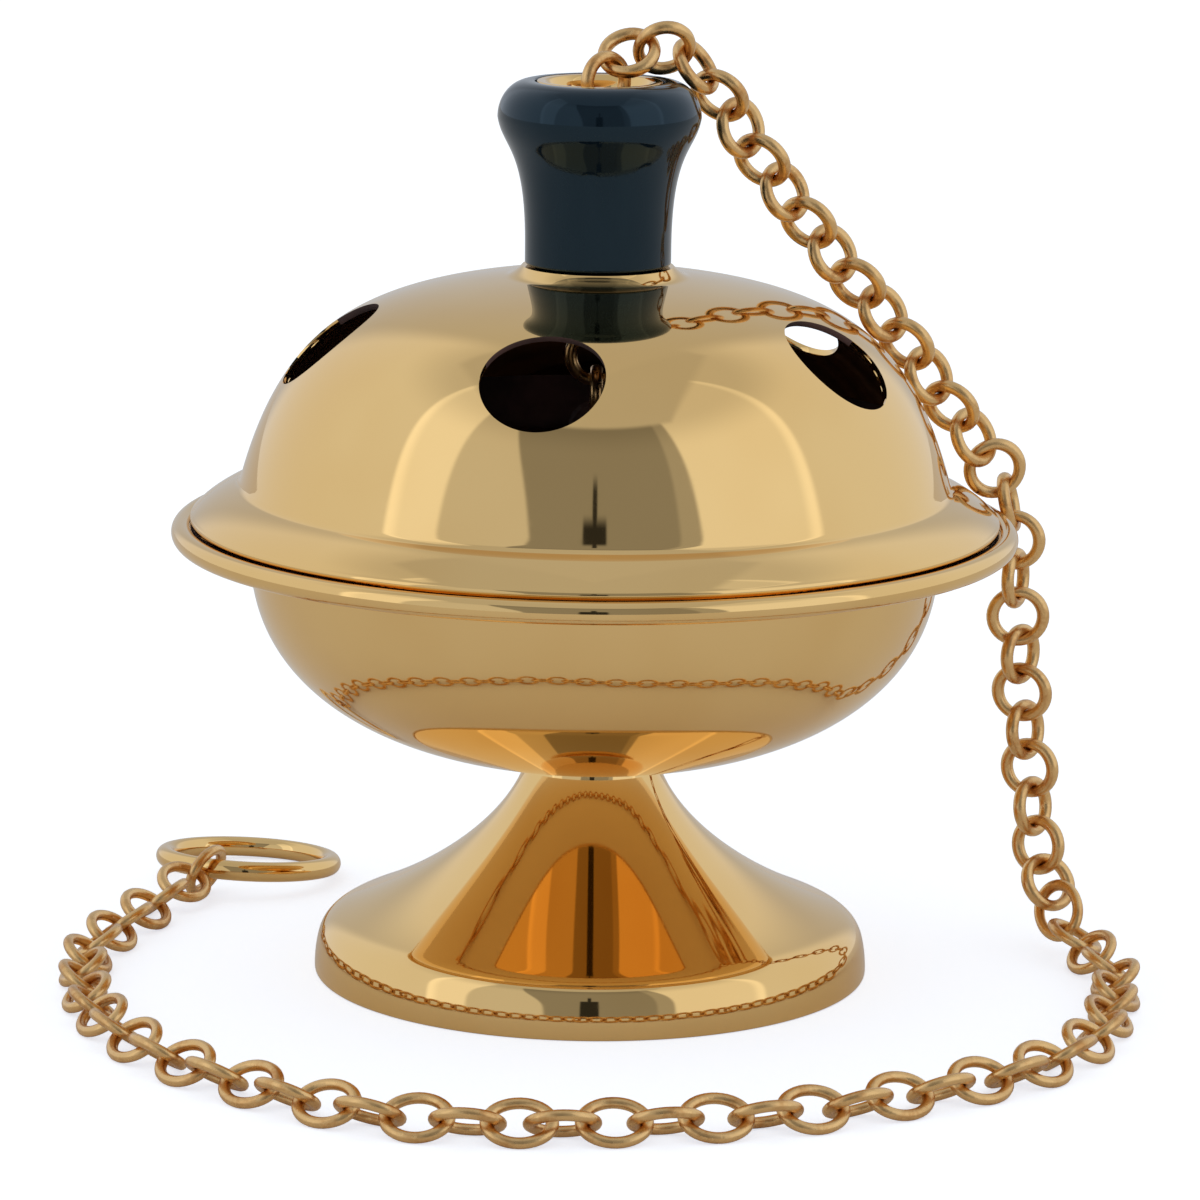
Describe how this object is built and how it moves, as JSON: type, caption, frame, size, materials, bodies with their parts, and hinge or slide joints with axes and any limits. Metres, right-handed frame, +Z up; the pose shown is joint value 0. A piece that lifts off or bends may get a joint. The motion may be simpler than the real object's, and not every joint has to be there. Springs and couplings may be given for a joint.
{
  "type": "censer",
  "caption": "Polished brass hand censer: trumpet foot, round bowl with rolled rim, pierced dome lid with dark knob, and a single chain through the knob to a finger ring.",
  "frame": {"origin": "on the surface it stands on, under the middle of the foot", "axes": "+Z up along the axis of foot, bowl and lid; -Y towards the viewer of the picture; +X to the side where the chain hangs down"},
  "size_m": [0.1952, 0.1981, 0.1729],
  "materials": {
    "polished_brass": "mirror polished",
    "inner_brass": "dull, heat darkened",
    "chain_brass": "satin",
    "knob_black": "high gloss",
    "fastener_steel": "plain"
  },
  "bodies": {
    "censer_base": {"foot": "polished_brass", "bowl": "polished_brass", "centre_screw": "inner_brass", "foot_washer": "fastener_steel", "foot_nut": "fastener_steel", "chain_bridge": "inner_brass", "bridge_rivet_1": "inner_brass", "bridge_rivet_2": "inner_brass", "bridge_rivet_3": "inner_brass", "chain_eye": "inner_brass", "eye_nut": "inner_brass", "chain_in_knob": "chain_brass", "chain_floor_lead": "chain_brass", "chain_floor_right": "chain_brass", "chain_floor_front": "chain_brass", "chain_floor_left": "chain_brass"},
    "hanging_chain": {"chain_over_lid": "chain_brass"},
    "lid": {"lid": "polished_brass", "knob": "knob_black", "knob_tube": "polished_brass", "tube_washer": "inner_brass", "tube_nut": "inner_brass"},
    "charcoal_pan": {"charcoal_pan": "inner_brass"},
    "finger_ring": {"finger_ring": "polished_brass"}
  },
  "joints": [
    {"name": "lid_lift", "type": "slide", "parent": "censer_base", "child": "hanging_chain", "axis": [0, 0, 1], "range_m": [0, 0.022], "deforming": ["chain_floor_lead"]},
    {"name": "lid_turn", "type": "hinge", "parent": "hanging_chain", "child": "lid", "pos_m": [0, 0, 0.13], "axis": [0, 0, 1], "continuous": true},
    {"name": "pan_lift", "type": "slide", "parent": "censer_base", "child": "charcoal_pan", "axis": [0, 0, 1], "range_m": [0, 0.025]},
    {"name": "ring_swing", "type": "hinge", "parent": "censer_base", "child": "finger_ring", "pos_m": [-0.07351, 0.05016, 0.0053], "axis": [0.8963, -0.4434, 0], "range_deg": [0, 95]}
  ]
}
